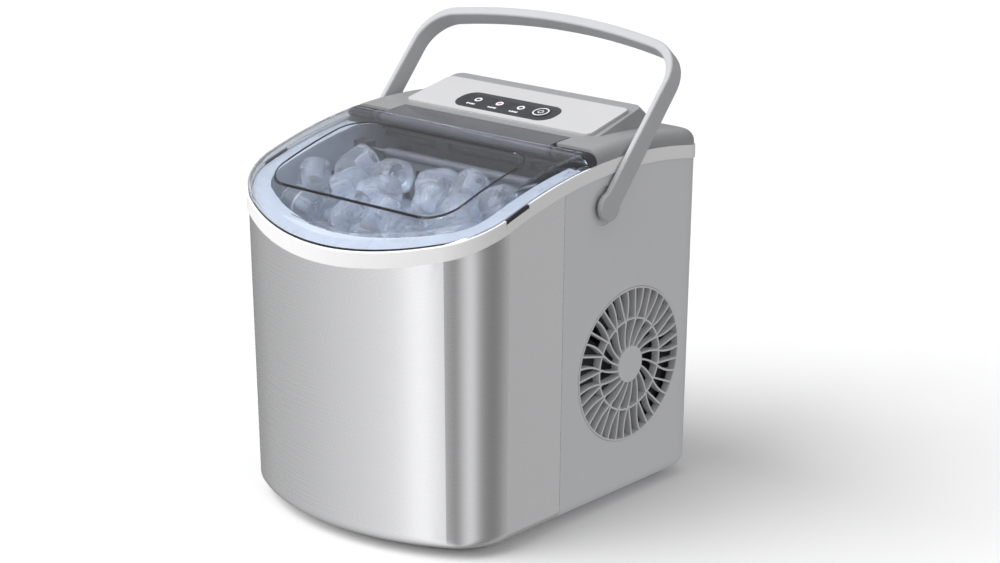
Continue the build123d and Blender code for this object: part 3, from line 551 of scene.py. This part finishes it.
# ---------------------------------------------------------------- studio
def soft_sun(name, bearing, height, strength, spread):
    """A wide far lamp: bearing from the front towards the right side, height above level, in degrees."""
    data = bpy.data.lights.new(name, "SUN")
    data.energy = strength
    data.angle = math.radians(spread)
    made = bpy.data.objects.new(name, data)
    bpy.context.scene.collection.objects.link(made)
    az, el = math.radians(bearing), math.radians(height)
    towards = Vector((math.sin(az) * math.cos(el), -math.cos(az) * math.cos(el), math.sin(el)))
    made.rotation_euler = towards.to_track_quat("Z", "Y").to_euler()
    made.visible_glossy = False
    made.visible_camera = False


# tone of the surroundings (0 to 1) that polished faces see, by compass bearing
# in degrees from the front, turning towards the right side
SURROUND = (
    (-180, 0.24), (-110, 0.26), (-88, 0.42), (-77, 0.44), (-57, 0.50), (-36, 0.59),
    (-15, 0.68), (-4, 0.77), (3, 1.0), (10, 1.0), (16, 0.60), (22, 0.36),
    (29, 0.27), (35, 0.26), (41, 0.33), (47, 0.46), (53, 0.56), (60, 0.66),
    (66, 0.63), (72, 0.52), (78, 0.37), (84, 0.29), (90, 0.23), (98, 0.20),
    (108, 0.19), (118, 0.23), (128, 0.30), (137, 0.42), (150, 0.42), (165, 0.28),
    (180, 0.24),
)


def world():
    """Soft white room.  Polished faces see tall soft bands of light and shade."""
    w = bpy.data.worlds.new("studio")
    bpy.context.scene.world = w
    w.use_nodes = True
    tree = w.node_tree
    tree.nodes.clear()

    def add(kind, **settings):
        made = tree.nodes.new(kind)
        for key, value in settings.items():
            setattr(made, key, value)
        return made

    def calc(operation, a, b=0.0):
        made = add("ShaderNodeMath", operation=operation)
        for i, value in enumerate((a, b)):
            if isinstance(value, (int, float)):
                made.inputs[i].default_value = value
            else:
                tree.links.new(value, made.inputs[i])
        return made.outputs[0]

    split = add("ShaderNodeSeparateXYZ")
    tree.links.new(add("ShaderNodeTexCoord").outputs["Generated"], split.inputs[0])
    bearing = calc("ARCTAN2", split.outputs[0], calc("MULTIPLY", split.outputs[1], -1.0))
    turn = calc("ADD", calc("DIVIDE", bearing, math.tau), 0.5)
    ramp = add("ShaderNodeValToRGB")
    tree.links.new(turn, ramp.inputs[0])
    stops = ramp.color_ramp.elements
    while len(stops) > 1:
        stops.remove(stops[-1])
    for i, (angle, tone) in enumerate(SURROUND):
        stop = stops[0] if i == 0 else stops.new((angle + 180) / 360)
        stop.position = (angle + 180) / 360
        stop.color = (tone, tone, tone * 1.01, 1)
    height = calc("SMOOTH_MAX", split.outputs[2], 0.0)
    up = add("ShaderNodeMapRange", interpolation_type="SMOOTHSTEP")
    tree.links.new(height, up.inputs["Value"])
    for key, value in (("From Min", 0.35), ("From Max", 0.75), ("To Min", 0.0), ("To Max", 1.0)):
        up.inputs[key].default_value = value
    shiny = add("ShaderNodeMix", data_type="RGBA")
    tree.links.new(up.outputs[0], shiny.inputs["Factor"])
    colours = [i for i in shiny.inputs if i.type == "RGBA"]
    tree.links.new(ramp.outputs[0], colours[0])
    colours[1].default_value = (0.40, 0.41, 0.43, 1)

    seen = add("ShaderNodeBackground")
    tree.links.new([o for o in shiny.outputs if o.type == "RGBA"][0], seen.inputs[0])
    seen.inputs[1].default_value = 1.25
    soft = add("ShaderNodeBackground")
    soft.inputs[0].default_value = (1.0, 1.0, 1.0, 1)
    soft.inputs[1].default_value = 0.40
    white = add("ShaderNodeBackground")
    white.inputs[0].default_value = (1, 1, 1, 1)
    white.inputs[1].default_value = 1.0
    path = add("ShaderNodeLightPath")
    by_gloss = add("ShaderNodeMixShader")
    tree.links.new(path.outputs["Is Glossy Ray"], by_gloss.inputs[0])
    tree.links.new(soft.outputs[0], by_gloss.inputs[1])
    tree.links.new(seen.outputs[0], by_gloss.inputs[2])
    by_camera = add("ShaderNodeMixShader")
    tree.links.new(path.outputs["Is Camera Ray"], by_camera.inputs[0])
    tree.links.new(by_gloss.outputs[0], by_camera.inputs[1])
    tree.links.new(white.outputs[0], by_camera.inputs[2])
    out = add("ShaderNodeOutputWorld")
    tree.links.new(by_camera.outputs[0], out.inputs[0])


def floor():
    bm = bmesh.new()
    reach, cells = 6.0, 12
    grid = [[bm.verts.new((reach * (2 * i / cells - 1), reach * (2 * j / cells - 1), 0.0))
             for i in range(cells + 1)] for j in range(cells + 1)]
    for j in range(cells):
        for i in range(cells):
            bm.faces.new((grid[j][i], grid[j][i + 1], grid[j + 1][i + 1], grid[j + 1][i]))
    mesh = bpy.data.meshes.new("floor")
    bm.to_mesh(mesh)
    bm.free()
    s = Shader("pale floor")
    tone = s.mix(s.span(s.noise(3.0), 0.0, 1.0), (0.90, 0.90, 0.905), (0.92, 0.92, 0.92))
    mesh.materials.append(s.finish(tone, s.span(s.noise(20.0), 0.6, 0.75)))
    made = bpy.data.objects.new("floor", mesh)
    bpy.context.scene.collection.objects.link(made)
    made.visible_glossy = False
    made.visible_diffuse = False


def camera():
    data = bpy.data.cameras.new("camera")
    data.sensor_width = 36.0
    data.lens = 84.235
    made = bpy.data.objects.new("camera", data)
    bpy.context.scene.collection.objects.link(made)
    az, el = math.radians(41.747), math.radians(16.872)
    back = Vector((math.sin(az) * math.cos(el), -math.cos(az) * math.cos(el), math.sin(el)))
    right = Vector((math.cos(az), math.sin(az), 0.0))
    up = back.cross(right)
    turn = Matrix((right, up, back)).transposed().to_4x4()
    made.matrix_world = Matrix.Translation((1.1064, -1.1950, 0.6499)) @ turn
    bpy.context.scene.camera = made


world()
floor()
camera()
soft_sun("key", -38, 43, 3.1, 62)
soft_sun("overhead", 20, 78, 0.35, 60)
soft_sun("fill", 80, 16, 0.30, 40)

settings = bpy.context.scene.view_settings
settings.view_transform = "Standard"
settings.look = "None"
settings.exposure = 0.0
